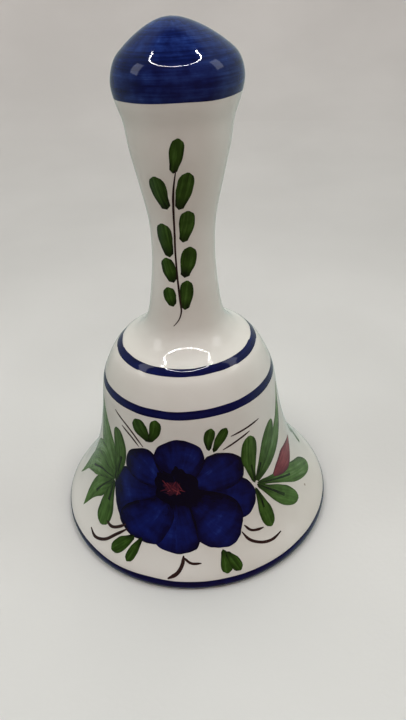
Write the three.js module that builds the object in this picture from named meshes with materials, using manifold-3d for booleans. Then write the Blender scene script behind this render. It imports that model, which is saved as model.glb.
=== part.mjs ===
// Porcelain hand bell: a slip-cast body with a hollow handle and knob, and a clapper
// on a short chain hung from a wire eye set in the neck.
// Millimetres, +Z up, origin at the middle of the rim's flat foot, painted front towards -Y.
import * as THREE from "three";
import { mergeVertices } from "three/addons/utils/BufferGeometryUtils.js";
import Module from "manifold-3d";

const wasm = await Module();
wasm.setup();

// ---- driving dimensions ----
const GAP = 0.3; // room left between pieces that touch
const SIDES = 32; // facets round the turned pieces

// Outside of the body, radius and height, from the foot up to the top of the knob.
const OUTSIDE = [
  [36.7, 0], [37.3, 0.45], [37.5, 1.5], [37.35, 2.6], [36.5, 4], [33.6, 7.4], [30.4, 12],
  [27.6, 17.8], [25.4, 24.8], [23.8, 32.8], [22.2, 42.3], [20.4, 46.8], [19.7, 48.15],
  [18.8, 49.6], [17.6, 50.95], [16.5, 52.1], [15.9, 52.55], [15.2, 52.9], [14.2, 53.4],
  [13, 54.15], [11.7, 55.3], [10.6, 56.6], [9.75, 58.2], [9.1, 60.4], [8.6, 63.1], [8.1, 66.8],
  [7.45, 74.8], [7.7, 82.8], [9.2, 90.8], [10.9, 98.8], [11.7, 104.3], [13, 108.3], [13.5, 111.8],
  [12.4, 115.4], [10.05, 117.75], [6.8, 120], [4, 121.4], [1.8, 122.1], [0, 122.3],
];
// Inside of the body, from the closed end of the knob down to the foot, a wall of about 3.3.
const INSIDE = [
  [0, 117.8], [4.6, 116.6], [8.4, 113.4], [9.8, 109.8], [8.7, 104.3], [7.4, 97.8], [5.6, 89.8],
  [4.3, 81.8], [4.2, 73.8], [4.9, 65.8], [5.9, 60.2], [7.4, 55.2], [10.6, 51.8], [14.8, 49.4],
  [17.4, 45.8], [18.8, 40.8], [20.5, 32.3], [22.2, 24.3], [24.4, 17.1], [27.2, 11.2], [30.4, 6.6],
  [33, 3.2], [34.2, 0],
];
const WALL_STEPS = 2; // facets between two points of an outline
const PLUG_STEPS = 4;

// The handle leans a little to the right of the body's axis, as it came out of the kiln.
const LEAN = 0.0365;
const LEAN_START = 42.8;
const LEAN_EASE = 6;
// The knob's crown is drawn back the other way.
const CROWN_LEAN = 0.0125;
const CROWN_START = 112.8;

const PLUG_BOTTOM = 51.6;
const PLUG_TOP = 60.8;

const WIRE = 0.55; // radius of the brass wire
const EYE_RADIUS = 1.9; // middle of the wire, for the hanger's ring
const EYE_HEIGHT = 47.4; // middle of the hanger's ring
const SHANK_TOP = 58;

const LINK_COUNT = 3;
const LINK_BEND = 1.7; // middle of the wire round each end of a link
const LINK_STRAIGHT = 3.6;
const HOOKED = 2 * WIRE + GAP; // a link's top wire above the wire that carries it

const PIN_EYE = 1.7;
const PIN_FOOT = 9.2; // underside of the ball's seat on the pin's head
const HEAD_RADIUS = 1.8;
const HEAD_THICK = 0.9;

const BALL_RADIUS = 7;
const BALL_BORE = WIRE + GAP;

// ---- materials ----
const glaze = () => new THREE.MeshStandardMaterial({ color: 0xe9e6df, roughness: 0.12, metalness: 0 });
const plaster = () => new THREE.MeshStandardMaterial({ color: 0xcfc9bd, roughness: 0.95, metalness: 0 });
const brass = () => new THREE.MeshStandardMaterial({ color: 0xb08d4a, roughness: 0.35, metalness: 1 });
const bisque = () => new THREE.MeshStandardMaterial({ color: 0xddd6c8, roughness: 0.7, metalness: 0 });

// ---- helpers ----
function curveThrough(points, stepsEach) {
  const path = points.map(([r, z]) => new THREE.Vector3(r, z, 0));
  const curve = new THREE.CatmullRomCurve3(path, false, "centripetal");
  const steps = stepsEach * (points.length - 1);
  return curve.getPoints(steps).map((p) => new THREE.Vector2(Math.max(p.x, 0), p.y));
}

// Turns a profile of (radius, height) round Z. The profile runs upwards on its outer side.
function turned(profile, sides = SIDES) {
  return new THREE.LatheGeometry(profile, sides).rotateX(Math.PI / 2);
}

function leanAt(z) {
  const rise = Math.max(0, z - LEAN_START);
  const crown = Math.max(0, z - CROWN_START);
  return (LEAN * rise * rise) / (rise + LEAN_EASE) - CROWN_LEAN * crown * crown;
}

function leaned(geometry) {
  const position = geometry.attributes.position;
  for (let i = 0; i < position.count; i += 1) {
    position.setX(i, position.getX(i) + leanAt(position.getZ(i)));
  }
  return geometry;
}

function toSolid(geometry) {
  const bare = geometry.clone();
  bare.deleteAttribute("normal");
  bare.deleteAttribute("uv");
  const merged = mergeVertices(bare, 1e-4);
  const vertProperties = new Float32Array(merged.attributes.position.array);
  const triVerts = new Uint32Array(merged.index.array);
  return new wasm.Manifold(new wasm.Mesh({ numProp: 3, vertProperties, triVerts }));
}

function fromSolid(solid) {
  const mesh = solid.getMesh();
  const geometry = new THREE.BufferGeometry();
  geometry.setAttribute("position", new THREE.BufferAttribute(mesh.vertProperties, 3));
  geometry.setIndex(new THREE.BufferAttribute(mesh.triVerts, 1));
  geometry.computeVertexNormals();
  return geometry;
}

function rod(radius, bottom, top, sides = 12) {
  const cylinder = new THREE.CylinderGeometry(radius, radius, top - bottom, sides);
  return cylinder.rotateX(Math.PI / 2).translate(0, 0, (top + bottom) / 2);
}

// A wire ring in the XZ plane, its two halves drawn apart by `straight` along Z.
function wireLoop(bend, straight, height) {
  const ring = new THREE.TorusGeometry(bend, WIRE, 8, 20).rotateX(Math.PI / 2);
  const position = ring.attributes.position;
  for (let i = 0; i < position.count; i += 1) {
    const z = position.getZ(i);
    const side = Math.abs(z) < 1e-6 ? 0 : Math.sign(z);
    position.setZ(i, z + (side * straight) / 2);
  }
  return ring.translate(0, 0, height);
}

function piece(name, geometry, material) {
  const mesh = new THREE.Mesh(geometry, material);
  mesh.name = name;
  return mesh;
}

// ---- pieces ----
function bellBody() {
  const outside = curveThrough(OUTSIDE, WALL_STEPS);
  const inside = curveThrough(INSIDE, WALL_STEPS);
  return piece("bell_body", leaned(turned([...inside, ...outside])), glaze());
}

// Plaster cast into the neck, following its inside, with a hole round the hanger's shank.
function neckPlug() {
  const wall = curveThrough(INSIDE, PLUG_STEPS).reverse();
  const side = wall.filter((p) => p.y > PLUG_BOTTOM && p.y < PLUG_TOP);
  const inset = side.map((p) => new THREE.Vector2(p.x - 1.5 * GAP, p.y));
  const bottom = new THREE.Vector2(0, inset[0].y);
  const top = new THREE.Vector2(0, inset[inset.length - 1].y);
  const block = toSolid(leaned(turned([bottom, ...inset, top])));
  const bore = toSolid(rod(WIRE + GAP, 0, PLUG_TOP + 10));
  return piece("neck_plug", fromSolid(block.subtract(bore)), plaster());
}

function hangerEye() {
  const ring = toSolid(wireLoop(EYE_RADIUS, 0, EYE_HEIGHT));
  const shank = toSolid(rod(WIRE, EYE_HEIGHT + EYE_RADIUS, SHANK_TOP));
  return piece("hanger_eye", fromSolid(ring.add(shank)), brass());
}

// Links hang in turn across and along X, each hooked on the wire above it.
function chain() {
  const height = 2 * LINK_BEND + LINK_STRAIGHT;
  const links = [];
  let carrier = EYE_HEIGHT - EYE_RADIUS;
  for (let i = 1; i <= LINK_COUNT; i += 1) {
    const middle = carrier + HOOKED - height / 2;
    const loop = wireLoop(LINK_BEND, LINK_STRAIGHT, middle);
    const link = piece(`chain_link_${i}`, loop, brass());
    link.rotation.z = i % 2 === 1 ? Math.PI / 2 : 0;
    links.push(link);
    carrier = middle - height / 2;
  }
  return { links, carrier };
}

function clapperPin(carrier) {
  const eye = carrier + HOOKED - PIN_EYE;
  const loop = toSolid(wireLoop(PIN_EYE, 0, eye));
  const shank = toSolid(rod(WIRE, PIN_FOOT - HEAD_THICK / 2, eye - PIN_EYE));
  const head = toSolid(rod(HEAD_RADIUS, PIN_FOOT - HEAD_THICK, PIN_FOOT, 16));
  return piece("clapper_pin", fromSolid(loop.add(shank).add(head)), brass());
}

// The ball rests on the pin's head and has a bore that the pin runs through.
function clapperBall() {
  const slices = 14;
  const middle = PIN_FOOT + GAP + Math.sqrt(BALL_RADIUS ** 2 - BALL_BORE ** 2);
  const start = Math.asin(BALL_BORE / BALL_RADIUS);
  const profile = [];
  for (let i = 0; i <= slices; i += 1) {
    const angle = start + ((Math.PI - 2 * start) * i) / slices;
    const height = middle - BALL_RADIUS * Math.cos(angle);
    profile.push(new THREE.Vector2(BALL_RADIUS * Math.sin(angle), height));
  }
  profile.push(profile[0].clone());
  return piece("clapper_ball", turned(profile, 24), bisque());
}

const group = new THREE.Group();
const { links, carrier } = chain();
group.add(bellBody(), neckPlug(), hangerEye(), ...links, clapperPin(carrier), clapperBall());

export default group;
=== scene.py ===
import bisect
import math
import random

import bpy
from mathutils import Matrix, Vector, noise


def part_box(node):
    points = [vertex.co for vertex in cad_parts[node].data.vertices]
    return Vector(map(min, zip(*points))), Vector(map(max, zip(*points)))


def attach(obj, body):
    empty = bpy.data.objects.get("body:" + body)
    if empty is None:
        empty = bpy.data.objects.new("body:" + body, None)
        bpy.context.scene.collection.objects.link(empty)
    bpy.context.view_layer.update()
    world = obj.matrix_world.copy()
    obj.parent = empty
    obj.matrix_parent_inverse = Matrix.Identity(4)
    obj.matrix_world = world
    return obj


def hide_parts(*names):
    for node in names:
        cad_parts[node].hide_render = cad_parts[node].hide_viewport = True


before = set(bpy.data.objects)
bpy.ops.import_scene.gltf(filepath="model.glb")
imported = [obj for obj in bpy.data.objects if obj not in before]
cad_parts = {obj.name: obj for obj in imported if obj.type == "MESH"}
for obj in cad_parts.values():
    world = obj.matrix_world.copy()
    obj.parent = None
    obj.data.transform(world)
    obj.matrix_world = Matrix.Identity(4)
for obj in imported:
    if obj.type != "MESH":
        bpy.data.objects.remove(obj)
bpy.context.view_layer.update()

# The looks of the porcelain hand bell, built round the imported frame. Lengths are in millimetres and
# angles in degrees from the painted front, positive to the right. on_body() and lathe() turn them
# into metres in the frame's own axes.

MM = 0.001

# ---- the body's shape ----
BODY_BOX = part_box("bell_body")
RIM_RADIUS = BODY_BOX[1][0] / MM
HEIGHT = BODY_BOX[1][2] / MM
PAINT_ROOM = 0.12  # the body stays this far inside its CAD shape, so that the paint fits as well
WALL_WAVE = 0.16  # how far the cast wall wanders, always inwards
BEAD = 0.8  # height of the foot's bead; painted marks are drawn by their height above it
OUTLINE_STEPS = 24  # samples between two points of an outline
BODY_SIDES = 192  # facets round the body

# Radius and height, from the foot up to the top of the knob.
OUTSIDE = [
    (36.7, 0), (37.3, 0.45), (37.5, 1.5), (37.35, 2.6), (36.5, 4), (33.6, 7.4), (30.4, 12),
    (27.6, 17.8), (25.4, 24.8), (23.8, 32.8), (22.2, 42.3), (20.4, 46.8), (19.7, 48.15),
    (18.8, 49.6), (17.6, 50.95), (16.5, 52.1), (15.9, 52.55), (15.2, 52.9), (14.2, 53.4),
    (13, 54.15), (11.7, 55.3), (10.6, 56.6), (9.75, 58.2), (9.1, 60.4), (8.6, 63.1), (8.1, 66.8),
    (7.45, 74.8), (7.7, 82.8), (9.2, 90.8), (10.9, 98.8), (11.7, 104.3), (13, 108.3),
    (13.5, 111.8), (12.4, 115.4), (10.05, 117.75), (6.8, 120), (4, 121.4), (1.8, 122.1),
    (0, 122.3),
]
# The same, from the closed end of the knob down to the foot.
INSIDE = [
    (0, 117.8), (4.6, 116.6), (8.4, 113.4), (9.8, 109.8), (8.7, 104.3), (7.4, 97.8), (5.6, 89.8),
    (4.3, 81.8), (4.2, 73.8), (4.9, 65.8), (5.9, 60.2), (7.4, 55.2), (10.6, 51.8), (14.8, 49.4),
    (17.4, 45.8), (18.8, 40.8), (20.5, 32.3), (22.2, 24.3), (24.4, 17.1), (27.2, 11.2),
    (30.4, 6.6), (33, 3.2), (34.2, 0),
]
# The handle leans to the right of the body's axis, and the knob's crown is drawn back again.
LEAN = 0.0365
LEAN_START = 42.8
LEAN_EASE = 6
CROWN_LEAN = 0.0125
CROWN_START = 112.8


def lean_at(z):
    """How far the body's middle stands to the right at a height."""
    rise = max(0.0, z - LEAN_START)
    crown = max(0.0, z - CROWN_START)
    return LEAN * rise * rise / (rise + LEAN_EASE) - CROWN_LEAN * crown * crown


def curve_through(points, steps):
    """Centripetal Catmull-Rom curve through points of any dimension, `steps` samples a span."""
    points = [Vector(p) for p in points]
    ends = [points[0] * 2 - points[1], *points, points[-1] * 2 - points[-2]]
    curve = []
    for p0, p1, p2, p3 in zip(ends, ends[1:], ends[2:], ends[3:]):
        d0, d1, d2 = ((b - a).length ** 0.5 for a, b in ((p0, p1), (p1, p2), (p2, p3)))
        leave = ((p1 - p0) / d0 - (p2 - p0) / (d0 + d1) + (p2 - p1) / d1) * d1
        arrive = ((p2 - p1) / d1 - (p3 - p1) / (d1 + d2) + (p3 - p2) / d2) * d1
        for i in range(steps):
            t = i / steps
            cubic = p1 * 2 - p2 * 2 + leave + arrive
            square = p2 * 3 - p1 * 3 - leave * 2 - arrive
            curve.append(((cubic * t + square) * t + leave) * t + p1)
    return [*curve, points[-1]]


def evenly(curve, spacing):
    """The same curve with its points `spacing` apart."""
    along = [0.0]
    for a, b in zip(curve, curve[1:]):
        along.append(along[-1] + (b - a).length)
    count = max(2, round(along[-1] / spacing))
    even = []
    for i in range(count + 1):
        s = along[-1] * i / count
        k = min(max(bisect.bisect_right(along, s) - 1, 0), len(curve) - 2)
        t = (s - along[k]) / (along[k + 1] - along[k])
        even.append(curve[k].lerp(curve[k + 1], t))
    return even


class Wall:
    """The body's outside, looked up by the length run along its outline from the foot."""

    def __init__(self, points):
        self.points = evenly(curve_through(points, OUTLINE_STEPS), 0.15)
        self.spacing = (self.points[1] - self.points[0]).length
        self.length = self.spacing * (len(self.points) - 1)
        self.heights = [p.y for p in self.points]

    def at(self, s):
        """Radius and height, and the outline's direction there."""
        place = min(max(s / self.spacing, 0), len(self.points) - 1.001)
        k = int(place)
        a, b = self.points[k], self.points[k + 1]
        p = a.lerp(b, place - k)
        return p, (b - a).normalized()

    def run_to(self, z):
        """The length run along the outline up to a height."""
        return self.spacing * bisect.bisect_left(self.heights, z)


WALL = Wall(OUTSIDE)


def wander(angle, z):
    """How far the cast wall stands inside its true shape."""
    a = math.radians(angle)
    place = Vector((1.1 * math.cos(a), 1.1 * math.sin(a), z / 26))
    fade = min(1.0, z / 8)  # the foot stays round
    return -WALL_WAVE * fade * (0.5 + 0.5 * noise.noise(place))


def on_body(angle, s, lift=0.0):
    """A point on the body's outside, in metres, `lift` off the glaze."""
    p, along = WALL.at(s)
    inset = (RIM_RADIUS - PAINT_ROOM) / RIM_RADIUS
    radius = p.x * inset + along.y * (lift + wander(angle, p.y))
    z = p.y * (HEIGHT - PAINT_ROOM) / HEIGHT - along.x * lift
    a = math.radians(angle)
    return Vector((radius * math.sin(a) + lean_at(p.y), -radius * math.cos(a), z)) * MM


# ---- mesh helpers ----
SHARP = 35  # edges turning by more than this many degrees are shaded as corners


def make_object(name, verts, faces, material, body, fields=None):
    """A mesh object riding on `body`. fields holds a list of vectors for each named attribute."""
    mesh = bpy.data.meshes.new(name)
    mesh.from_pydata([tuple(v) for v in verts], [], faces)
    for field, values in (fields or {}).items():
        layer = mesh.attributes.new(field, "FLOAT_VECTOR", "POINT")
        layer.data.foreach_set("vector", [c for v in values for c in v])
    mesh.validate()
    mesh.shade_smooth()
    mesh.set_sharp_from_angle(angle=math.radians(SHARP))
    mesh.materials.append(material)
    obj = bpy.data.objects.new(name, mesh)
    bpy.context.scene.collection.objects.link(obj)
    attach(obj, body)
    return obj


def lathe_faces(rows, sides):
    """Quads between neighbouring rings. A ring of one vertex is a pole."""
    faces = []
    starts = []
    count = 0
    for size in rows:
        starts.append(count)
        count += size
    for (a, na), (b, nb) in zip(zip(starts, rows), zip(starts[1:], rows[1:])):
        for i in range(sides):
            j = (i + 1) % sides
            if na == 1:
                faces.append((a, b + j, b + i))
            elif nb == 1:
                faces.append((a + i, a + j, b))
            else:
                faces.append((a + i, a + j, b + j, b + i))
    return faces


def closing_faces(last, sides):
    """Quads from the ring that starts at vertex `last` to the first ring."""
    return [(last + k, last + (k + 1) % sides, (k + 1) % sides, k) for k in range(sides)]


def lathe(profile, sides, place, closed=False):
    """Turns (radius, height) points. place(angle, radius, height) gives each vertex in metres."""
    verts, rows = [], []
    for p in profile:
        size = 1 if p[0] < 1e-6 else sides
        rows.append(size)
        verts += [place(360 * i / sides, p[0], p[1]) for i in range(size)]
    faces = lathe_faces(rows, sides)
    if closed:
        faces += closing_faces(len(verts) - sides, sides)
    return verts, faces


def upright(angle, radius, z):
    """A point in metres, turned round the body's own axis."""
    a = math.radians(angle)
    return Vector((radius * math.sin(a), -radius * math.cos(a), z)) * MM


def loft(rings):
    """Joins rings of equal size into a closed skin, its two ends fanned to their middles."""
    sides = len(rings[0])
    verts = [p for ring in rings for p in ring]
    faces = lathe_faces([sides] * len(rings), sides)
    for start, ring, turn in ((0, rings[0], -1), (len(verts) - sides, rings[-1], 1)):
        middle = len(verts)
        verts.append(sum(ring, Vector()) / sides)
        for i in range(sides):
            edge = (start + i, start + (i + 1) % sides)
            faces.append((*edge[::turn], middle))
    return verts, faces


# ---- materials ----
class Nodes:
    """A material's node tree, with short calls for adding and joining nodes."""

    def __init__(self, name):
        self.material = bpy.data.materials.new(name)
        self.material.use_nodes = True
        self.tree = self.material.node_tree
        self.shader = self.tree.nodes["Principled BSDF"]

    def add(self, kind, inputs=None, **settings):
        node = self.tree.nodes.new(kind)
        for key, value in settings.items():
            setattr(node, key, value)
        for key, value in (inputs or {}).items():
            self.feed(node.inputs[key], value)
        return node

    def feed(self, socket, value):
        if isinstance(value, bpy.types.NodeSocket):
            self.tree.links.new(value, socket)
        else:
            socket.default_value = value

    def where(self):
        return self.add("ShaderNodeTexCoord").outputs["Object"]

    def field(self, name):
        return self.add("ShaderNodeAttribute", attribute_name=name).outputs["Vector"]

    def stretch(self, vector, scale):
        return self.add("ShaderNodeMapping", {"Vector": vector, "Scale": scale}).outputs[0]

    def noise(self, vector, scale, detail=2.0, rough=0.5):
        made = {"Vector": vector, "Scale": scale, "Detail": detail, "Roughness": rough}
        return self.add("ShaderNodeTexNoise", made).outputs["Fac"]

    def math(self, kind, a, b=0.0, c=0.0):
        return self.add("ShaderNodeMath", {0: a, 1: b, 2: c}, operation=kind).outputs[0]

    def blend(self, factor, a, b):
        mixed = self.add("ShaderNodeMix", {"Factor": factor}, data_type="RGBA")
        self.feed(mixed.inputs["A"], a)
        self.feed(mixed.inputs["B"], b)
        return mixed.outputs["Result"]

    def limits(self, value, low, high, to_low=0.0, to_high=1.0):
        made = {"Value": value, "From Min": low, "From Max": high, "To Min": to_low, "To Max": to_high}
        return self.add("ShaderNodeMapRange", made, interpolation_type="SMOOTHSTEP").outputs[0]

    def ramp(self, value, stops):
        node = self.add("ShaderNodeValToRGB", {"Fac": value})
        elements = node.color_ramp.elements
        while len(elements) < len(stops):
            elements.new(0.5)
        for element, (place, colour) in zip(elements, stops):
            element.position = place
            element.color = (*colour, 1)
        return node.outputs["Color"]

    def bump(self, height, depth, strength=1.0):
        made = {"Height": height, "Distance": depth * MM, "Strength": strength}
        return self.add("ShaderNodeBump", made).outputs["Normal"]

    def finish(self, colour, normal=None, **values):
        self.feed(self.shader.inputs["Base Color"], colour)
        if normal is not None:
            self.feed(self.shader.inputs["Normal"], normal)
        for key, value in values.items():
            self.feed(self.shader.inputs[key.replace("_", " ")], value)
        return self.material


GLAZE = dict(Roughness=0.055, IOR=1.5)


def glaze_skin(nodes):
    """The glaze's own faint unevenness, the same over paint and bare body."""
    where = nodes.where()
    slow = nodes.noise(where, 95, 1.0)
    fine = nodes.noise(where, 900, 2.0)
    height = nodes.math("MULTIPLY_ADD", fine, 0.05, slow)
    return nodes.bump(height, 0.09)


def white_glaze():
    nodes = Nodes("white_glaze")
    where = nodes.where()
    cloud = nodes.limits(nodes.noise(where, 38, 3.0), 0.35, 0.7)
    tone = nodes.blend(cloud, (0.785, 0.775, 0.735, 1), (0.72, 0.70, 0.65, 1))
    # iron specks, a few on each side of the bell
    speck = nodes.add("ShaderNodeTexVoronoi", {"Vector": where, "Scale": 95.0})
    size = nodes.math("MULTIPLY", nodes.noise(where, 60), 0.075)
    dot = nodes.math("LESS_THAN", speck.outputs["Distance"], size)
    rare = nodes.math("GREATER_THAN", nodes.noise(where, 47, 0.0), 0.62)
    spotted = nodes.math("MULTIPLY", dot, rare)
    faint = nodes.math("MULTIPLY", spotted, 0.55)
    colour = nodes.blend(faint, tone, (0.23, 0.15, 0.09, 1))
    return nodes.finish(colour, glaze_skin(nodes), **GLAZE)


def bare_clay():
    nodes = Nodes("bare_clay")
    where = nodes.where()
    grain = nodes.noise(where, 1500, 4.0, 0.7)
    stain = nodes.noise(where, 120, 3.0)
    base = nodes.ramp(grain, [(0.3, (0.50, 0.43, 0.34)), (0.7, (0.66, 0.60, 0.51))])
    colour = nodes.blend(nodes.limits(stain, 0.5, 0.75), base, (0.40, 0.33, 0.26, 1))
    rough = nodes.limits(grain, 0.2, 0.8, 0.75, 0.95)
    return nodes.finish(colour, nodes.bump(grain, 0.05), Roughness=rough)


def paint(name, stops, streaks, pooling, root, blotch=0.35, depth=0.5):
    """Brushed colour under the glaze. Field `run` is millimetres along and across the stroke, and
    `mark` is the fraction along it, the fraction across it and the stroke's own tone. pooling darkens
    a stroke's edges and root its start; blotch and depth say how much cloud and streak show."""
    nodes = Nodes(name)
    run = nodes.field("run")
    mark = nodes.add("ShaderNodeSeparateXYZ", {"Vector": nodes.field("mark")}).outputs
    streak = nodes.noise(nodes.stretch(run, streaks), 1.0, 4.0, 0.6)
    cloud = nodes.noise(run, 0.42, 3.0)
    edge = nodes.math("POWER", nodes.math("ABSOLUTE", mark["Y"]), 3.5)
    tone = nodes.math("MULTIPLY_ADD", nodes.math("SUBTRACT", streak, 0.5), depth, mark["Z"])
    tone = nodes.math("MULTIPLY_ADD", nodes.math("SUBTRACT", cloud, 0.5), blotch, tone)
    tone = nodes.math("MULTIPLY_ADD", edge, -pooling, tone)
    near_root = nodes.limits(mark["X"], 0.0, 0.45, 1.0, 0.0)
    tone = nodes.math("MULTIPLY_ADD", near_root, root, tone)
    return nodes.finish(nodes.ramp(tone, stops), glaze_skin(nodes), **GLAZE)


BRASS = [(0.3, (0.34, 0.22, 0.09)), (0.55, (0.62, 0.44, 0.19)), (0.8, (0.72, 0.54, 0.26))]


def wire_brass():
    nodes = Nodes("brass_wire")
    where = nodes.where()
    stain = nodes.noise(where, 260, 4.0, 0.6)
    lines = nodes.noise(nodes.stretch(where, (9, 9, 0.6)), 420, 2.0)
    colour = nodes.ramp(stain, BRASS)
    rough = nodes.limits(stain, 0.3, 0.7, 0.48, 0.26)
    return nodes.finish(colour, nodes.bump(lines, 0.02), Roughness=rough, Metallic=1.0)


def cast_plaster():
    nodes = Nodes("plaster")
    where = nodes.where()
    lumps = nodes.noise(where, 420, 5.0, 0.65)
    pits = nodes.add("ShaderNodeTexVoronoi", {"Vector": where, "Scale": 1100.0}).outputs["Distance"]
    pit = nodes.limits(pits, 0.0, 0.25)
    colour = nodes.ramp(lumps, [(0.3, (0.50, 0.46, 0.39)), (0.7, (0.72, 0.68, 0.61))])
    height = nodes.math("MULTIPLY_ADD", pit, 0.4, lumps)
    return nodes.finish(colour, nodes.bump(height, 0.18), Roughness=0.92)


def ball_clay():
    nodes = Nodes("bisque")
    where = nodes.where()
    grain = nodes.noise(where, 1300, 4.0, 0.7)
    rubbed = nodes.noise(where, 170, 3.0)
    colour = nodes.ramp(grain, [(0.3, (0.60, 0.53, 0.43)), (0.7, (0.74, 0.67, 0.57))])
    colour = nodes.blend(nodes.limits(rubbed, 0.55, 0.7), colour, (0.46, 0.40, 0.33, 1))
    return nodes.finish(colour, nodes.bump(grain, 0.05), Roughness=0.78)


# Colours of paint, from the darkest tone to the palest.
NAVY = [
    (0.0, (0.003, 0.004, 0.018)), (0.3, (0.004, 0.006, 0.055)),
    (0.65, (0.007, 0.018, 0.145)), (1.0, (0.035, 0.085, 0.36)),
]
KNOB_BLUE = [
    (0.05, (0.003, 0.006, 0.04)), (0.4, (0.007, 0.016, 0.10)),
    (0.7, (0.020, 0.046, 0.19)), (1.0, (0.085, 0.14, 0.35)),
]
GREEN = [
    (0.0, (0.008, 0.020, 0.006)), (0.35, (0.036, 0.084, 0.012)),
    (0.65, (0.10, 0.205, 0.045)), (1.0, (0.30, 0.43, 0.24)),
]
BROWN = [(0.1, (0.018, 0.010, 0.010)), (0.6, (0.06, 0.032, 0.028)), (1.0, (0.22, 0.15, 0.12))]
CRIMSON = [(0.1, (0.045, 0.012, 0.03)), (0.5, (0.20, 0.035, 0.05)), (1.0, (0.55, 0.16, 0.17))]

LOOKS = {
    "white_glaze": white_glaze(),
    "bare_clay": bare_clay(),
    "brass_wire": wire_brass(),
    "plaster": cast_plaster(),
    "bisque": ball_clay(),
    "knob": paint("knob_blue", KNOB_BLUE, (0.05, 1.3, 0.05), 0.0, 0.0, blotch=0.8, depth=1.2),
    "band": paint("band_blue", NAVY, (0.06, 1.2, 0.06), 0.12, 0.0, blotch=0.3, depth=0.45),
    "petal": paint("petal_blue", NAVY, (0.12, 1.3, 1), 0.5, -0.40, blotch=0.8, depth=0.6),
    "leaf": paint("leaf_green", GREEN, (0.10, 1.7, 1), 0.2, -0.30, blotch=0.4, depth=0.8),
    "vein": paint("vein_green", GREEN, (0.2, 2.0, 1), 0.0, 0.0),
    "line": paint("line_brown", BROWN, (0.25, 2.0, 1), 0.0, 0.0, blotch=0.6),
    "bud": paint("bud_crimson", CRIMSON, (0.15, 1.4, 1), 0.4, -0.1),
}


# ---- the body ----
def bell_body():
    outside = evenly(curve_through(OUTSIDE, OUTLINE_STEPS), 0.45)
    inside = evenly(curve_through(INSIDE, OUTLINE_STEPS), 1.2)
    inner = [*inside, Vector((34.9, 0)), Vector((35.6, 0))]
    sides = BODY_SIDES
    verts, rows = [], []
    for p in inner:
        rows.append(1 if p.x < 1e-6 else sides)
        turn = [upright(360 * i / sides, p.x, p.y + PAINT_ROOM / 2) for i in range(rows[-1])]
        verts += [v + Vector((lean_at(p.y) * MM, 0, 0)) for v in turn]
    run = 0.0
    for before, p in zip([outside[0], *outside], outside):
        run += (p - before).length
        rows.append(1 if p.x < 1e-6 else sides)
        verts += [on_body(360 * i / sides, run) for i in range(rows[-1])]
    faces = lathe_faces(rows, sides)
    body = make_object("porcelain_body", verts, faces, LOOKS["white_glaze"], "bell")
    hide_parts("bell_body")


def foot_ring():
    """The rim's edge that stood on the kiln shelf, wiped clean of glaze."""
    profile = [(34.5, 0.1), (35.0, 0.04), (35.9, 0.04), (36.25, 0.14), (35.6, 0.24), (34.6, 0.24)]
    ring = curve_through([*profile, profile[0]], 3)[:-1]
    verts, faces = lathe(ring, BODY_SIDES, upright, closed=True)
    make_object("foot_ring", verts, faces, LOOKS["bare_clay"], "bell")


# ---- painted films ----
FILM_DEPTH = 0.05  # how far a film reaches down into the glaze
THIN_LIFT = 0.025  # how far the bands and the knob's blue stand off the glaze
RAGGED = 0.05  # how uneven a brush mark's edge is, as a share of its width
APART = 31  # shifts the streaks of one stroke from those of the next


class Film:
    """Thin closed patches of colour laid on the body, gathered into one object."""

    def __init__(self):
        self.verts = []
        self.faces = []
        self.fields = {"run": [], "mark": []}

    def patch(self, rows, lift, fields, ring=False):
        """A closed patch over `rows`, a grid of (angle, s). A ring's last row joins its first."""
        down, wide = len(rows), len(rows[0])
        base = len(self.verts)
        for level in (lift, -FILM_DEPTH):
            self.verts += [on_body(angle, s, level) for row in rows for angle, s in row]
            for name, values in fields.items():
                self.fields[name] += values
        under = down * wide

        def corner(i, j, low=False):
            return base + (i % down) * wide + j + (under if low else 0)

        lines = down if ring else down - 1
        for i in range(lines):
            for j in range(wide - 1):
                quad = [corner(i, j), corner(i + 1, j), corner(i + 1, j + 1), corner(i, j + 1)]
                self.faces.append(tuple(quad))
                self.faces.append(tuple(v + under for v in reversed(quad)))
            for j, step in ((0, 1), (wide - 1, -1)):
                edge = (corner(i, j), corner(i + 1, j))
                low = (corner(i + 1, j, True), corner(i, j, True))
                self.faces.append((edge[::step] + low[::step])[::-1])
        if not ring:
            for i, step in ((0, 1), (down - 1, -1)):
                for j in range(wide - 1):
                    edge = (corner(i, j + 1), corner(i, j))
                    low = (corner(i, j, True), corner(i, j + 1, True))
                    self.faces.append((edge[::step] + low[::step])[::-1])

    def build(self, name, look):
        make_object(name, self.verts, self.faces, LOOKS[look], "bell", fields=self.fields)


def blunt(t, peak=0.68, root=0.24, end=2.4):
    """Half width of a leaf-shaped brush mark, from its root to its tip."""
    start = min(1.0, t / 0.07) ** 0.5
    if t < peak:
        x = t / peak
        return max(0.02, start * (root + (1 - root) * x * x * (3 - 2 * x)))
    x = (t - peak) / (1 - peak)
    return max(0.02, 1 - x ** end) ** 0.5


def stubby(t):
    return blunt(t, 0.62, 0.4, 2.8)


def oval(t):
    return blunt(t, 0.58, 0.55, 3.2)


def fading(t):
    return 1 - 0.6 * t


def pointed(t):
    """Half width of a mark that swells early and runs out to a point."""
    peak = 0.45
    root = 0.15
    if t < peak:
        x = t / peak
        return root + (1 - root) * math.sin(x * math.pi / 2)
    x = (t - peak) / (1 - peak)
    return max(0.02, 1 - x ** 1.5)


def even_line(t):
    """Half width of a line that thins only at its ends."""
    return 0.35 + 0.65 * min(1.0, 6 * t, 5 * (1 - t))


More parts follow.
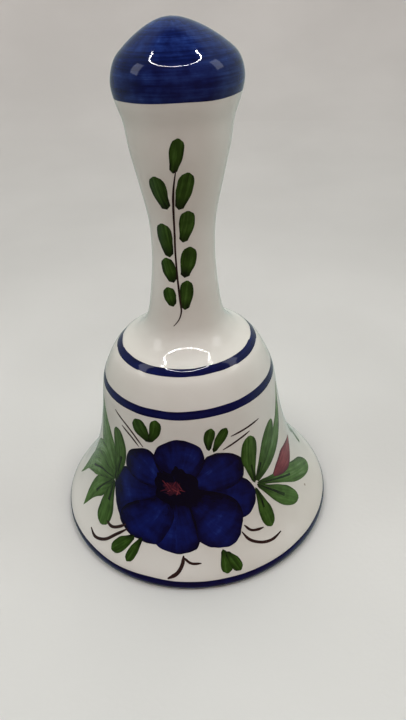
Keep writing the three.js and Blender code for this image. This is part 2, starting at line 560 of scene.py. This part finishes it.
def brush(film, path, width, shape, lift=0.04, tone=0.5, across=6, step=0.6, seed=0):
    """One brush mark: a centre line through (angle, height) points with its width in millimetres."""
    line = [Vector((angle, WALL.run_to(z + BEAD))) for angle, z in path]
    radius = WALL.at(sum(p.y for p in line) / len(line))[0].x
    scale = math.radians(radius)  # millimetres in a degree, at the mark's middle
    flat = evenly(curve_through([Vector((p.x * scale, p.y)) for p in line], 12), step)
    count = len(flat) - 1
    rows, run, mark = [], [], []
    for i, p in enumerate(flat):
        t = i / count
        ahead = (flat[min(i + 1, count)] - flat[max(i - 1, 0)]).normalized()
        side = Vector((ahead.y, -ahead.x))
        row = []
        for j in range(across + 1):
            v = 2 * j / across - 1
            wobble = 1 + RAGGED * 2 * noise.noise(Vector((t * 5, v * 1.5, seed * 7.3)))
            place = p + side * (v * width / 2 * shape(t) * wobble)
            row.append((place.x / scale, place.y))
            run.append((i * step + seed * APART, v * width / 2 * shape(t), seed * 3.7))
            mark.append((t, v, tone))
        rows.append(row)
    film.patch(rows, lift, {"run": run, "mark": mark})


def band(name, low, high, dip=0.0, wave=0.12, seed=0):
    """A painted ring between two heights, its edges as uneven as a brush leaves them. It runs `dip`
    lower at the back."""
    tone = 0.42
    film = Film()
    sides = 240
    across = 8
    rows, run, mark = [], [], []
    for i in range(sides):
        angle = 360 * i / sides
        a = math.radians(angle)
        turn = Vector((2.2 * math.cos(a), 2.2 * math.sin(a), seed))
        sunk = dip * ((1 - math.cos(a)) / 2) ** 2
        heights = (low - sunk, high - sunk)
        waves = [wave * noise.noise(turn * 2 + Vector((0, 0, k * 9))) for k in range(2)]
        edges = [WALL.run_to(z + BEAD) + w for z, w in zip(heights, waves)]
        drift = wave * noise.noise(turn)
        radius = WALL.at(edges[0])[0].x
        for j in range(across + 1):
            v = 2 * j / across - 1
            s = edges[0] + (edges[1] - edges[0]) * (v + 1) / 2 + drift
            rows.append((angle, s))
            run.append((radius * math.cos(a), s, radius * math.sin(a)))
            mark.append((0.5, v, tone))
    grid = [rows[k:k + across + 1] for k in range(0, len(rows), across + 1)]
    film.patch(grid, THIN_LIFT, {"run": run, "mark": mark}, ring=True)
    film.build(name, "band")


KNOB_EDGE = 108.2


def knob_cap():
    """The knob's blue: one film over the whole top, down to a hand-drawn edge."""
    sides = BODY_SIDES
    start = WALL.run_to(KNOB_EDGE + BEAD)
    rows = 44
    verts, fields, sizes = [], {"run": [], "mark": []}, []
    for lift in (THIN_LIFT, -FILM_DEPTH):
        order = range(rows + 1) if lift > 0 else range(rows, -1, -1)
        for k in order:
            pole = k == rows
            sizes.append(1 if pole else sides)
            for i in range(1 if pole else sides):
                angle = 360 * i / sides
                a = math.radians(angle)
                edge = start + 0.25 * noise.noise(Vector((math.cos(a) * 1.6, math.sin(a) * 1.6, 4)))
                s = edge + (WALL.length - edge) * k / rows
                verts.append(on_body(angle, s, lift))
                fields["run"].append((12 * math.cos(a), s, 12 * math.sin(a)))
                fields["mark"].append((0.5, 0.0, 0.45))
    faces = lathe_faces(sizes, sides) + closing_faces(len(verts) - sides, sides)
    make_object("knob_blue", verts, faces, LOOKS["knob"], "bell", fields=fields)


def blot(film, outline, root, lift, tone, seed, rings=10, ragged=0.05, pale=(0, 0)):
    """A filled brush mark inside a drawn outline, its streaks running out from `root`. The paint is
    thinner towards `pale`, given across and up."""
    corners = [Vector((angle, WALL.run_to(z + BEAD))) for angle, z in [root, *outline]]
    scale = math.radians(WALL.at(corners[0].y)[0].x)
    start, *flat = [Vector((p.x * scale, p.y)) for p in corners]
    steps = 6
    around = curve_through([flat[-1], *flat, flat[0], flat[1]], steps)[steps:steps * (len(flat) + 1)]
    turn = sum(a.x * b.y - a.y * b.x for a, b in zip(around, [*around[1:], around[0]]))
    if turn > 0:
        around.reverse()
    middle = sum(around, Vector((0, 0))) / len(around)
    reach = max((p - start).length for p in around)
    size = max((p - middle).length for p in around)
    levels = [(k / rings, lift) for k in range(rings + 1)]
    levels += [(1 - k / rings, -FILM_DEPTH) for k in range(rings + 1)]
    base = len(film.verts)
    sizes = []
    for share, level in levels:
        sizes.append(len(around) if share > 0 else 1)
        for k in range(sizes[-1]):
            wobble = 1 + ragged * noise.noise(Vector((k * 0.22, seed * 5.1, 0)))
            place = middle + (around[k] - middle) * (share * wobble)
            film.verts.append(on_body(place.x / scale, place.y, level))
            away = place - start
            fan = math.atan2(away.x, away.y) * 6
            film.fields["run"].append((away.length + seed * APART, fan, seed * 3.7))
            thin = (place - middle).dot(Vector(pale)) / size
            film.fields["mark"].append((away.length / reach, share, tone + thin))
    film.faces += [tuple(v + base for v in face) for face in lathe_faces(sizes, len(around))]


THIN_LINE = 0.42  # width of the finest brush line
LINE_LIFT = 0.045  # brown lines lie over the leaves
VEIN_LIFT = 0.055
SMALL_TONE = 0.36  # the small leaves are a deeper green than the sprays

FLOWER = (-10, 22.3)  # the middle of the flower, angle and height
PETALS = [
    # tone, layer, paler side, outline
    (0.54, 0, (-0.1, 0.1), [
        (-16, 22), (-26, 24), (-36, 25), (-44, 24.4), (-49, 22), (-50, 20), (-49, 17), (-47, 14.8),
        (-44.6, 13), (-42, 11.7), (-38, 10.4), (-30, 13), (-22, 18),
    ]),
    (0.57, 0, (0.15, -0.1), [
        (-2, 22), (8, 24), (16, 24.3), (23, 23.8), (28, 22.5), (31, 21), (33, 19.5), (34, 17.8),
        (33.5, 16.2), (32, 14.9), (28, 13.2), (23, 12.7), (14, 15.5), (4, 19.5),
    ]),
    (0.61, 1, (0.15, -0.1), [
        (-17, 23), (-24, 22), (-34, 22.5), (-42, 24.6), (-42.5, 27.8), (-39, 30.2), (-34.5, 31.3),
        (-27, 32), (-21.5, 30.6), (-17, 27),
    ]),
    (0.57, 1, (-0.15, -0.2), [
        (-4, 23), (1, 26), (5, 28.5), (6.5, 30), (9, 30.8), (14, 31.3), (19, 30.8), (25, 29.5),
        (29.4, 27.5), (30, 25), (28.5, 22.8), (20, 21), (8, 21.5),
    ]),
    (0.59, 2, (0.1, 0.1), [
        (-14, 24), (-22, 28.5), (-23, 31), (-20, 33.5), (-15, 35), (-9, 36), (-4, 35.8), (1, 34.8),
        (5, 33.4), (7, 30), (3, 26.5), (-4, 23.5),
    ]),
    (0.60, 2, (-0.3, -0.1), [
        (-12, 19.5), (-17, 14), (-20.5, 10.5), (-19.5, 8.6), (-16, 7.8), (-13, 7.4), (-9, 7.2),
        (-5.5, 7.4), (-2, 7.9), (0, 8.7), (2, 12.2), (0, 16), (-5, 19.5),
    ]),
    (0.59, 3, (0.12, -0.05), [
        (-16, 20.5), (-23, 19), (-30, 17.6), (-36, 16), (-40, 14.2), (-41.5, 12.4), (-40.4, 10.8),
        (-37, 9.6), (-33, 8.8), (-28, 8.5), (-23, 8.3), (-19, 8.7), (-14, 11.7), (-11, 16),
    ]),
    (0.54, 3, (0.05, -0.28), [
        (-6, 21), (-3, 17), (-1, 13), (0.5, 10), (2.3, 9.2), (5, 8.4), (7.6, 8.1), (12, 7.8),
        (16, 8), (19, 8.9), (21, 10.3), (23.7, 14.6), (20, 18.5), (10, 21), (0, 22),
    ]),
]


def flower():
    """Eight broad petals brushed outwards from the middle, the later ones over the earlier."""
    film = Film()
    for seed, (tone, layer, pale, outline) in enumerate(PETALS, 1):
        lift = 0.02 + 0.007 * layer
        blot(film, outline, FLOWER, lift, tone, seed, ragged=0.03, pale=pale)
    film.build("flower_petals", "petal")


# Sprays of leaves, each as its path of (angle, height), width, tone and shape.
LEAVES_RIGHT = [
    ([(35, 19.5), (34.5, 26), (37, 32.5)], 5.0, 0.50, blunt),
    ([(36, 19.8), (45.5, 25), (59, 32)], 4.4, 0.52, blunt),
    ([(37, 19.5), (51, 23.5), (66, 29), (79, 38)], 4.6, 0.68, pointed),
    ([(36.5, 19), (51, 16.5), (73, 11.2), (84, 8)], 5.6, 0.62, blunt),
    ([(36, 18.8), (47, 13.4), (58.5, 8.1)], 5.0, 0.55, blunt),
    ([(34.5, 18.2), (36, 13), (36.2, 8)], 3.9, 0.45, blunt),
]
LEAVES_LEFT = [
    ([(-51, 19), (-63, 26), (-70, 31), (-76, 38)], 8.5, 0.70, pointed),
    ([(-50, 18.8), (-48, 26.8), (-50.5, 31.3), (-53.5, 33.8)], 5.0, 0.50, blunt),
    ([(-53, 21), (-67, 22.5), (-79, 19), (-88, 12)], 6.0, 0.76, pointed),
    ([(-51, 19.3), (-70, 17.8), (-86, 12), (-90, 6.2)], 7.0, 0.72, pointed),
    ([(-51, 18.6), (-62, 14), (-67, 10.5), (-68, 5.9)], 6.0, 0.60, pointed),
    ([(-50.5, 18.6), (-52, 13), (-50.5, 7)], 5.6, 0.50, blunt),
]
LEAVES_BACK = [
    ([(112, 14), (101, 14.5), (94, 16.5)], 3.4, 0.55, blunt),
    ([(112, 14), (103, 11.5), (96, 9.6)], 3.2, 0.55, blunt),
    ([(112, 14), (118, 19), (121, 24)], 3.8, 0.50, blunt),
    ([(112, 14), (121, 11), (130, 9)], 4.0, 0.50, blunt),
]


def leaf_spray(name, leaves, first):
    film = Film()
    for seed, (path, width, tone, shape) in enumerate(leaves, first):
        lift = 0.03 + 0.005 * (seed % 4)  # neighbours lie at different depths
        brush(film, path, width, shape, lift=lift, tone=tone, across=8, seed=seed)
    film.build(name, "leaf")


PAIRS = [
    # each small leaf's path and width, in twos that meet like a heart
    ([(-25.5, 34.2), (-31, 36.9), (-36, 39.4)], 3.9),
    ([(-25.5, 34.2), (-21.8, 37.6), (-21, 40.6)], 3.0),
    ([(10, 32.3), (10.5, 35.5), (12.5, 38.2)], 2.7),
    ([(12.5, 31.8), (16.8, 34.6), (22, 37.3)], 2.7),
    ([(-30.5, 8.9), (-35.5, 6.4), (-39.5, 4.2)], 3.6),
    ([(-26.5, 9.1), (-29, 6.3), (-31, 3.7)], 2.6),
    ([(10.7, 7.5), (11.2, 5.6), (11, 2.9)], 2.9),
    ([(12, 7), (14.4, 5), (16.4, 2.9)], 2.9),
]


def small_leaves():
    film = Film()
    for seed, (path, width) in enumerate(PAIRS, 40):
        lift = 0.05 + 0.005 * (seed % 2)
        brush(film, path, width, stubby, lift=lift, tone=SMALL_TONE, seed=seed)
    film.build("small_leaves", "leaf")


SPRIG = [
    # each leaf's path and width
    ([(-8.5, 94.7), (-4, 98.2), (-1, 101.7)], 2.9),
    ([(-21.5, 86.7), (-29.5, 90.3), (-33, 93.8)], 3.9),
    ([(-4.5, 86.7), (3.5, 90.7), (9, 94.7)], 3.5),
    ([(0, 79), (7, 82.7), (9, 86.3)], 3.4),
    ([(-24.5, 75.4), (-32, 79.5), (-35, 83.1)], 3.9),
    ([(0.5, 70.5), (7.5, 74.2), (12, 77.7)], 3.6),
    ([(-18, 69.3), (-28, 72.6), (-33, 75.1)], 3.6),
    ([(-19, 63.6), (-26, 66.1), (-30.5, 68)], 3.3),
    ([(-0.5, 62.8), (2.5, 66.6), (5, 69.8)], 3.2),
]
STEM = [
    (-5, 95.5), (-9.5, 91.2), (-12, 86.6), (-13.5, 80.7), (-14, 77.2), (-12, 71.3), (-8, 65.3),
    (-6.3, 62.4), (-10, 60.5), (-18, 58.9),
]


def sprig():
    """The stem up the handle with a leaf at its top and four down each side."""
    leaves = Film()
    for seed, (path, width) in enumerate(SPRIG, 60):
        brush(leaves, path, width, oval, tone=SMALL_TONE, seed=seed)
    stem = Film()
    brush(stem, STEM, THIN_LINE, even_line, lift=LINE_LIFT, tone=0.3, across=2, seed=80)
    leaves.build("sprig_leaves", "leaf")
    stem.build("sprig_stem", "line")


LINES = [
    # path, width
    ([(-54, 38.9), (-40.5, 36), (-30, 32.3)], THIN_LINE),
    ([(-47, 35.7), (-39.5, 34.1), (-33, 32.1)], THIN_LINE),
    ([(46.3, 35.4), (37.4, 35.1), (24.2, 34.7)], THIN_LINE),
    ([(37.7, 33.8), (30, 33.1), (18.4, 31.7)], THIN_LINE),
    ([(-48, 8.5), (-44, 8.1), (-39.7, 9.1), (-36.5, 10.4)], 0.8),
    ([(-55, 4.8), (-50.5, 4.1), (-45, 5), (-40, 7.3), (-35, 9.6)], 0.8),
    ([(23, 11), (25.5, 9.5), (29.3, 8.9), (32, 8.8)], 0.6),
    ([(21, 9.9), (23.5, 7.8), (28.5, 6.2), (33.7, 5.7), (39.3, 6)], 0.7),
    ([(-6.5, 6.9), (-7, 5.2), (-9, 3.6), (-12.6, 2.4)], 0.95),
    ([(-6.4, 6.6), (-3.5, 5.6), (1, 5.4)], 0.6),
    ([(122, 27), (128, 30.5), (137, 33)], THIN_LINE),
    ([(136, 8.2), (141, 6.2), (148, 6)], 0.6),
]


def thin_lines():
    film = Film()
    for seed, (path, width) in enumerate(LINES, 90):
        brush(film, path, width, even_line, lift=LINE_LIFT, tone=0.4, across=2, step=0.4, seed=seed)
    film.build("thin_lines", "line")


# Dark strokes along the leaves, each as its path and width.
VEINS = [
    ([(-47, 26.5), (-49, 21.5)], 0.7),
    ([(-78, 14.5), (-66, 17.6), (-53, 19)], 0.7),
    ([(-64, 11.5), (-60, 14.5), (-53, 18.2)], 0.7),
    ([(-51.5, 12.8), (-51.5, 15), (-51, 17.8)], 0.9),
    ([(62, 13.6), (50, 16.4), (38, 18.8)], 0.6),
    ([(51, 11.6), (46, 14.2), (37, 18.5)], 0.8),
    ([(36, 12.6), (36, 15), (35, 17.8)], 0.6),
    ([(42, 23.5), (37, 20)], 0.6),
    ([(35, 24.5), (35.5, 20)], 0.6),
]


def veins():
    film = Film()
    for seed, (path, width) in enumerate(VEINS, 120):
        brush(film, path, width, fading, lift=VEIN_LIFT, tone=0.08, across=2, step=0.4, seed=seed)
    film.build("leaf_veins", "vein")


def bud():
    film = Film()
    path = [(49, 17.8), (63, 18.2), (80, 19.6)]
    brush(film, path, 6.2, pointed, lift=VEIN_LIFT, tone=0.62, seed=140)
    film.build("bud", "bud")


# Outline of the flower's dark middle, and of the red spot on it.
HEART = [
    (-22, 22.7), (-21, 25.5), (-18.5, 26.9), (-13, 26.6), (-10.5, 28.2), (-7.5, 28.4), (-4.5, 26.8),
    (0, 26), (3.3, 22.4), (2, 19.8), (-1, 19.3), (-6, 18.6), (-12.4, 17.9), (-19.3, 19.3),
]
PISTIL = [
    (-16.5, 22.5), (-15, 23.8), (-12, 24.2), (-9, 23.8), (-7.5, 22.6), (-9, 21.2), (-12, 20.8),
    (-15, 21.2),
]
PISTIL_MIDDLE = (-12, 22.4)
STAMENS = 24


def flower_heart():
    """The dark middle of the flower, with a red spot and a tangle of red strokes on it."""
    dark = Film()
    blot(dark, HEART, FLOWER, lift=0.05, tone=0.02, seed=150, ragged=0.25)
    red = Film()
    blot(red, PISTIL, PISTIL_MIDDLE, lift=0.055, tone=0.22, seed=160, rings=5, ragged=0.5)
    rng = random.Random(7)
    for k in range(STAMENS):
        a = rng.uniform(0, math.pi)
        x = PISTIL_MIDDLE[0] + rng.uniform(-4.2, 4.2)
        z = PISTIL_MIDDLE[1] + rng.uniform(-1.0, 1.0)
        reach = rng.uniform(0.9, 1.9)
        dx, dz = reach * math.cos(a) * 2.4, reach * math.sin(a) * 0.8
        path = [(x - dx, z - dz), (x + rng.uniform(-0.6, 0.6), z), (x + dx, z + dz)]
        tone = rng.uniform(0.0, 0.7)
        brush(red, path, 0.34, even_line, lift=0.065, tone=tone, across=2, step=0.3, seed=170 + k)
    dark.build("flower_middle", "petal")
    red.build("flower_stamens", "bud")


# ---- the clapper ----
WIRE_RADIUS = 0.55
WIRE_SHARE = 0.985  # each wire is drawn at this share of its CAD thickness
CLEAR = 0.3  # room between a piece and what it touches, as in the CAD


def tube(path, radius, sides=20, closed=False):
    """A round wire along a path in millimetres. It is closed on itself, or has each end closed flat,
    fanned to its middle.
    """
    path = [Vector(p) for p in path]
    count = len(path)
    rings = []
    side = None
    for i, p in enumerate(path):
        before = path[i - 1] if closed or i else path[0]
        after = path[(i + 1) % count] if closed or i < count - 1 else path[-1]
        ahead = (after - before).normalized()
        if side is None:
            side = ahead.orthogonal().normalized()
        side = (side - ahead * side.dot(ahead)).normalized()
        up = ahead.cross(side)
        angles = [2 * math.pi * k / sides for k in range(sides)]
        rings.append([(p + (side * math.cos(a) + up * math.sin(a)) * radius) * MM for a in angles])
    if not closed:
        return loft(rings)
    verts = [p for ring in rings for p in ring]
    faces = lathe_faces([sides] * count, sides) + closing_faces(len(verts) - sides, sides)
    return verts, faces


def loop_path(bend, straight, middle, turned, steps=28):
    """An oval in an upright plane, its two ends drawn apart by `straight`."""
    points = []
    for i in range(2 * steps):
        a = math.pi * i / steps
        z = bend * math.sin(a)
        lift = straight / 2 * max(-1.0, min(1.0, 6 * math.sin(a)))
        x = bend * math.cos(a)
        points.append((0, x, middle + z + lift) if turned else (x, 0, middle + z + lift))
    return points


def join(*parts):
    verts, faces = [], []
    for more_verts, more_faces in parts:
        base = len(verts)
        verts += more_verts
        faces += [tuple(v + base for v in face) for face in more_faces]
    return verts, faces


def measured(node):
    """The two corners of a CAD node's box, in millimetres."""
    low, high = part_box(node)
    return Vector(low) / MM, Vector(high) / MM


def chain_links():
    for k in (1, 2, 3):
        low, high = measured(f"chain_link_{k}")
        turned = high.y - low.y > high.x - low.x
        thick = (high.x - low.x if turned else high.y - low.y) / 2
        wide = (high.y - low.y if turned else high.x - low.x) / 2
        bend = wide - thick
        straight = high.z - low.z - 2 * wide
        path = loop_path(bend, straight, (high.z + low.z) / 2, turned)
        verts, faces = tube(path, thick * WIRE_SHARE, closed=True)
        link = make_object(f"link_{k}", verts, faces, LOOKS["brass_wire"], f"link_{k}")
        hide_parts(f"chain_link_{k}")


def eye_wire(bend, middle, way, end, radius):
    """A wire turned round an eye at height `middle`, its shank running up (1) or down (-1)."""
    turn = []
    for degrees in range(-172, 165, 6):
        a = math.radians(degrees)
        turn.append((bend * math.sin(a), 0, middle - way * bend * math.cos(a)))
    shank = [(0.15, 0, middle + way * (bend + 0.5)), (0, 0, middle + way * (bend + 1.4)), (0, 0, end)]
    return tube(curve_through([*turn, *shank], 2), radius * WIRE_SHARE)


def hanger():
    low, high = measured("hanger_eye")
    thick = (high.y - low.y) / 2
    bend = (high.x - low.x) / 2 - thick
    verts, faces = eye_wire(bend, low.z + thick + bend, 1, high.z - 0.1, thick)
    eye = make_object("wire_eye", verts, faces, LOOKS["brass_wire"], "bell")
    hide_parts("hanger_eye")


def clapper_pin():
    low, high = measured("clapper_pin")
    bend = (high.x - low.x) / 2 - WIRE_RADIUS
    wire = eye_wire(bend, high.z - WIRE_RADIUS - bend, -1, low.z + 0.4, WIRE_RADIUS)
    head = [(0, 0.0), (0.9, 0.05), (1.5, 0.25), (1.75, 0.55), (1.7, 0.82), (1.2, 0.88), (0, 0.9)]
    button = lathe([(r, low.z + z) for r, z in curve_through(head, 4)], 40, upright)
    verts, faces = join(wire, button)
    pin = make_object("clapper_wire", verts, faces, LOOKS["brass_wire"], "clapper")
    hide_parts("clapper_pin")


def clapper_ball():
    low, high = measured("clapper_ball")
    radius = (high.x - low.x) / 2 * 0.995
    middle = (high.z + low.z) / 2
    bore = WIRE_RADIUS + CLEAR
    start = math.asin(bore / radius)
    profile = [(bore, middle + 5.5), (bore, middle - 5.5)]
    for i in range(49):
        a = start + (math.pi - 2 * start) * i / 48
        seam = 0.05 * math.exp(-((a - math.pi / 2) / 0.03) ** 2)
        size = radius - 0.06 + seam
        profile.append((size * math.sin(a), middle - size * math.cos(a)))

    def rough(angle, r, z):
        p = upright(angle, r, z)
        return p - p.normalized() * 0.05 * MM * (0.5 + 0.5 * noise.noise(p * 260))

    verts, faces = lathe(profile, 72, rough, closed=True)
    ball = make_object("ball", verts, faces, LOOKS["bisque"], "ball")
    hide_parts("clapper_ball")


def neck_plug():
    low, high = measured("neck_plug")
    wall = evenly(curve_through(INSIDE, OUTLINE_STEPS), 0.7)
    inside = [p for p in wall if low.z + CLEAR < p.y < high.z - CLEAR]
    side = [(p.x - 1.6 * CLEAR, p.y) for p in reversed(inside)]
    foot = side[0][0]
    bottom = [
        (0.95, low.z + 0.7), (foot * 0.4, low.z + 0.62), (foot * 0.75, low.z + 0.35),
        (foot * 0.95, low.z + 0.1),
    ]
    top = [(side[-1][0] * 0.9, high.z - 0.1), (0.95, high.z - 0.5)]

    def poured(angle, r, z):
        p = upright(angle, r, z)
        dent = 0.10 * MM * noise.noise(p * 420) if r > 1 else 0.0
        return p + Vector((lean_at(z) * MM, 0, dent)) if r > 1 else p

    verts, faces = lathe([*bottom, *side, *top], 96, poured, closed=True)
    plug = make_object("plaster_plug", verts, faces, LOOKS["plaster"], "bell")
    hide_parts("neck_plug")


# ---- stage, lights and camera ----
# The paper's outline from the bell outwards, as distance and height.
PAPER = [
    (60, 0), (160, 0), (260, 0), (420, 12), (560, 60), (680, 160), (760, 320), (800, 620),
    (800, 1200),
]
PAPER_RISE = 420  # distance at which the floor becomes the wall
BACK_FROM = 130  # the part of the wall behind the bell, in degrees round from the front
BACK_TO = 230
PAPER_TURN = 5  # degrees between the paper's ribs


def stage():
    """A pale paper floor curving up into a wall all round. The glaze reflects the tent instead of it,
    and only the floor and the wall behind the bell stand in the tent's light."""
    nodes = Nodes("paper")
    fibre = nodes.noise(nodes.where(), 700, 4.0)
    mottle = nodes.noise(nodes.where(), 9, 3.0)
    colour = nodes.blend(nodes.limits(mottle, 0.3, 0.7), (0.66, 0.66, 0.64, 1), (0.70, 0.70, 0.68, 1))
    nodes.finish(colour, nodes.bump(fibre, 0.03), Roughness=0.9)
    curve = evenly(curve_through(PAPER, 10), 20)
    bend = next(i for i, p in enumerate(curve) if p.x > PAPER_RISE)
    floor = [Vector((0.01, 0)), *curve[:bend + 1]]
    wall = curve[bend:]
    sheets = (
        ("paper_floor", floor, 0, 360),
        ("paper_back", wall, BACK_FROM, BACK_TO),
        ("paper_round", wall, BACK_TO, BACK_FROM + 360),
    )
    for name, profile, start, end in sheets:
        turns = (end - start) // PAPER_TURN
        angles = [start + PAPER_TURN * i for i in range(turns + 1)]
        verts = [upright(angle, p.x, p.y) for angle in angles for p in profile]
        faces = grid_faces(turns, len(profile))
        mesh = bpy.data.meshes.new(name)
        mesh.from_pydata([tuple(v) for v in verts], [], faces)
        mesh.shade_smooth()
        mesh.materials.append(nodes.material)
        obj = bpy.data.objects.new(name, mesh)
        lit = name != "paper_round"  # the rest of the wall is only there to be seen
        obj.visible_glossy = False
        obj.visible_diffuse = lit
        obj.visible_shadow = lit
        bpy.context.scene.collection.objects.link(obj)


def grid_faces(turns, rows):
    """Quads between neighbouring ribs of `rows` vertices."""
    starts = [i * rows + k for i in range(turns) for k in range(rows - 1)]
    return [(v, v + rows, v + rows + 1, v + 1) for v in starts]


CAMERA_AT = Vector((3.98, -130.4, 130.5)) * MM
CAMERA_PITCH = math.radians(33.6)  # below the level
CAMERA_ROLL = math.radians(-3.44)
LENS = 30
SENSOR_WIDTH = 36
NEAR_CLIP = 0.01


def camera():
    data = bpy.data.cameras.new("camera")
    data.lens = LENS
    data.sensor_width = SENSOR_WIDTH
    data.clip_start = NEAR_CLIP
    obj = bpy.data.objects.new("camera", data)
    turn = Matrix.Rotation(math.pi / 2 - CAMERA_PITCH, 4, "X") @ Matrix.Rotation(CAMERA_ROLL, 4, "Z")
    obj.matrix_world = Matrix.Translation(CAMERA_AT) @ turn
    bpy.context.scene.collection.objects.link(obj)
    bpy.context.scene.camera = obj


def lamp(name, place, target, energy, shape, **settings):
    """An area lamp aimed at `target`, itself unseen by the camera."""
    data = bpy.data.lights.new(name, "AREA")
    data.energy = energy
    data.shape = shape
    for key, value in settings.items():
        setattr(data, key, value)
    obj = bpy.data.objects.new(name, data)
    obj.location = place
    obj.rotation_mode = "QUATERNION"
    obj.rotation_quaternion = (Vector(target) - Vector(place)).to_track_quat("-Z", "Y")
    obj.visible_camera = False
    bpy.context.scene.collection.objects.link(obj)
    return obj


# Lamps: places and sizes in metres, powers in watts.
AIM = Vector((0, 0, 0.06))  # the bell's middle
RING_MIDDLE = Vector((-0.006, -0.065, 0.33))
RING_RADIUS = 0.13
RING_LAMPS = 56
RING_LAMP_SIZE = 0.006
RING_GAP = 42  # degrees either side of the back, where the ring of lamps is open
RING_POWER = 0.77  # of the whole ring
PANEL_FROM = (0.27, -0.04, 0.22)  # from the aim to the right-hand panel
PANEL_SIZE = (0.09, 0.13)
PANEL_POWER = 0.065
BACK_PLACE = (0, 0.45, 0.75)
BACK_TARGET = (0, 0.6, 0)
BACK_SIZE = (0.8, 0.5)
BACK_POWER = 3.3
TOP_PLACE = (0, 0, 0.8)
TOP_SIZE = (0.8, 0.8)
TOP_POWER = 0.34

# The tent's light, by the direction it is seen in. Each fall is given between two directions.
TENT_SIDES = (0.435, 0.495, 0.46)
TENT_FRONT = (0.15, 0.07, 0.05)
FRONT_FALL = (-0.65, 0.15)
TENT_LEFT = 0.66  # the left side's strength against the right's
LEFT_FALL = (-0.9, 0.2)
TENT_TOP = 0.12  # the top's strength against the sides'
TOP_FALL = (0.80, 0.93)
CONTRAST = 0.85  # the view's gamma


def tent():
    """The inside of a light tent: pale sides and back, an open front and a dark hole overhead."""
    world = bpy.data.worlds.new("tent")
    world.use_nodes = True
    tree = world.node_tree
    towards = tree.nodes.new("ShaderNodeSeparateXYZ")
    tree.links.new(tree.nodes.new("ShaderNodeTexCoord").outputs["Generated"], towards.inputs[0])

    def fall(axis, between, start, end, socket):
        """Feeds a socket with `start` turning smoothly to `end` between two values of an axis."""
        node = tree.nodes.new("ShaderNodeMapRange")
        node.interpolation_type = "SMOOTHSTEP"
        keys = ("From Min", "From Max", "To Min", "To Max")
        for key, number in zip(keys, (*between, start, end)):
            node.inputs[key].default_value = number
        tree.links.new(towards.outputs[axis], node.inputs["Value"])
        tree.links.new(node.outputs[0], socket)

    wall = tree.nodes.new("ShaderNodeMix")
    wall.data_type = "RGBA"
    wall.inputs["A"].default_value = (*TENT_FRONT, 1)
    wall.inputs["B"].default_value = (*TENT_SIDES, 1)
    fall("Y", FRONT_FALL, 0.0, 1.0, wall.inputs["Factor"])
    shader = tree.nodes["Background"]
    tree.links.new(wall.outputs["Result"], shader.inputs["Color"])
    level = tree.nodes.new("ShaderNodeMath")
    level.operation = "MULTIPLY"
    fall("X", LEFT_FALL, TENT_LEFT, 1.0, level.inputs[0])
    fall("Z", TOP_FALL, 1.0, TENT_TOP, level.inputs[1])
    tree.links.new(level.outputs[0], shader.inputs["Strength"])
    bpy.context.scene.world = world


def panel(name, place, target, power, size):
    return lamp(name, place, target, power, "RECTANGLE", size=size[0], size_y=size[1])


def lights():
    """A ring of small lamps overhead, open at the back, with a panel at each side. The two large
    lamps over them stay out of reflections."""
    for k in range(RING_LAMPS):
        a = math.radians(RING_GAP + (360 - 2 * RING_GAP) * k / (RING_LAMPS - 1))
        place = RING_MIDDLE + Vector((math.sin(a), math.cos(a), 0)) * RING_RADIUS
        below = place - Vector((0, 0, 1))
        lamp(f"ring_{k}", place, below, RING_POWER / RING_LAMPS, "DISK", size=RING_LAMP_SIZE)
    for side in (-1, 1):
        place = AIM + Vector((PANEL_FROM[0] * side, *PANEL_FROM[1:]))
        panel(f"panel_{side}", place, AIM, PANEL_POWER, PANEL_SIZE)
    back = panel("back", BACK_PLACE, BACK_TARGET, BACK_POWER, BACK_SIZE)
    top = panel("top", TOP_PLACE, AIM, TOP_POWER, TOP_SIZE)
    back.visible_glossy = top.visible_glossy = False
    bpy.context.scene.view_settings.view_transform = "Standard"
    bpy.context.scene.view_settings.gamma = CONTRAST


camera()
tent()
lights()
stage()
bell_body()
foot_ring()
neck_plug()
hanger()
chain_links()
clapper_pin()
clapper_ball()
band("band_rim", -0.62, 2.0, wave=0.2, seed=1)
band("band_lower", 41.2, 43.15, seed=2)
band("band_upper", 50.1, 51.55, dip=0.6, seed=3)
knob_cap()
leaf_spray("leaves_right", LEAVES_RIGHT, 10)
leaf_spray("leaves_left", LEAVES_LEFT, 20)
leaf_spray("leaves_back", LEAVES_BACK, 30)
flower()
flower_heart()
small_leaves()
sprig()
thin_lines()
veins()
bud()
